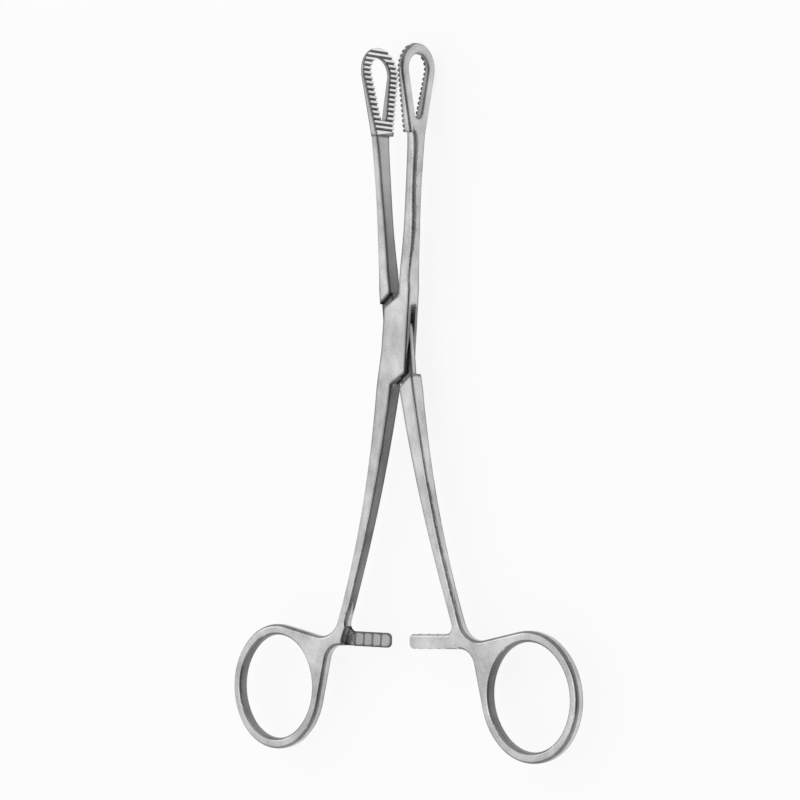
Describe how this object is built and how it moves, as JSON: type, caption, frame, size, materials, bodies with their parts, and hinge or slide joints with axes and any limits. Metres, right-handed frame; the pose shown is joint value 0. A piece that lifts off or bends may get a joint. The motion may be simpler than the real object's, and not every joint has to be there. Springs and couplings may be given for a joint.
{
  "type": "sponge holding forceps",
  "caption": "Straight sponge holding forceps with box lock, serrated fenestrated oval jaws, finger rings and a ratchet.",
  "frame": {"origin": "on the pivot axis, in the lower flat face of the box lock, with the forceps lying flat", "axes": "+Y towards the jaw tips, +X towards the ring of the tongue half, +Z along the pivot axis, up out of the upper lock face"},
  "size_m": [0.1108, 0.1767, 0.013],
  "materials": {
    "stainless": "satin glass-beaded stainless steel"
  },
  "bodies": {
    "box": {"box_half": "stainless", "lock_pin": "stainless"},
    "tongue": {"tongue_half": "stainless"}
  },
  "joints": [
    {"name": "box_lock_pivot", "type": "hinge", "parent": "box", "child": "tongue", "pos_m": [0, 0, 0.002], "axis": [0, 0, 1], "range_deg": [-9, 30]}
  ]
}
